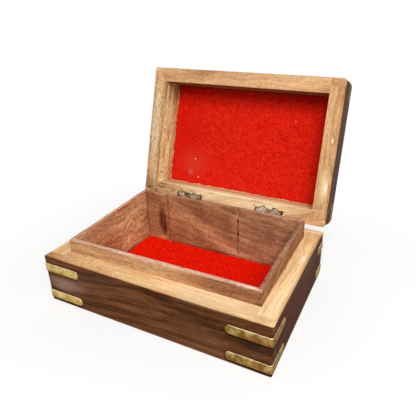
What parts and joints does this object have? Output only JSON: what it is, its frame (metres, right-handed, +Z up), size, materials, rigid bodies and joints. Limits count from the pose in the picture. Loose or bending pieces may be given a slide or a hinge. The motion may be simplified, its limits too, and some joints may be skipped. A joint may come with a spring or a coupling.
{
  "type": "hinged wooden box",
  "caption": "Small keepsake box of dark wood with a hinged lid, brass straps let into its corners, a raised wooden liner and red felt in the tray and lid.",
  "frame": {"origin": "middle of the underside of the base", "axes": "+X along the front to the right, +Y back towards the hinges, +Z up; the lid stands open at rest"},
  "size_m": [0.153, 0.1576, 0.1325],
  "materials": {
    "carcass_wood": "dark rosewood-like timber, polished outside and bare sawn on the rims",
    "liner_wood": "thin red-brown boards, planed and unpolished",
    "felt": "bright red short-pile felt",
    "brass": "rubbed, slightly tarnished brass"
  },
  "bodies": {
    "base": {"base_front_wall": "carcass_wood", "base_back_wall": "carcass_wood", "base_left_wall": "carcass_wood", "base_right_wall": "carcass_wood", "bottom_panel": "carcass_wood", "liner_front": "liner_wood", "liner_back": "liner_wood", "liner_left": "liner_wood", "liner_right": "liner_wood", "floor_felt": "felt", "base_strap_front_left_upper": "brass", "base_strap_front_left_lower": "brass", "base_strap_front_right_upper": "brass", "base_strap_front_right_lower": "brass", "base_strap_back_left_upper": "brass", "base_strap_back_left_lower": "brass", "base_strap_back_right_upper": "brass", "base_strap_back_right_lower": "brass", "base_strap_pins": "brass", "left_hinge_base_leaf": "brass", "right_hinge_base_leaf": "brass", "left_hinge_pin": "brass", "right_hinge_pin": "brass", "hinge_base_screws": "brass"},
    "lid": {"lid_front_rail": "carcass_wood", "lid_back_rail": "carcass_wood", "lid_left_stile": "carcass_wood", "lid_right_stile": "carcass_wood", "lid_top_panel": "carcass_wood", "lid_felt": "felt", "lid_strap_front_left": "brass", "lid_strap_front_right": "brass", "lid_strap_back_left": "brass", "lid_strap_back_right": "brass", "lid_strap_pins": "brass", "left_hinge_lid_leaf": "brass", "right_hinge_lid_leaf": "brass", "hinge_lid_screws": "brass"}
  },
  "joints": [
    {"name": "lid_hinge", "type": "hinge", "parent": "base", "child": "lid", "pos_m": [0, 0.0529, 0.03315], "axis": [-1, 0, 0], "range_deg": [-107, 0]}
  ]
}
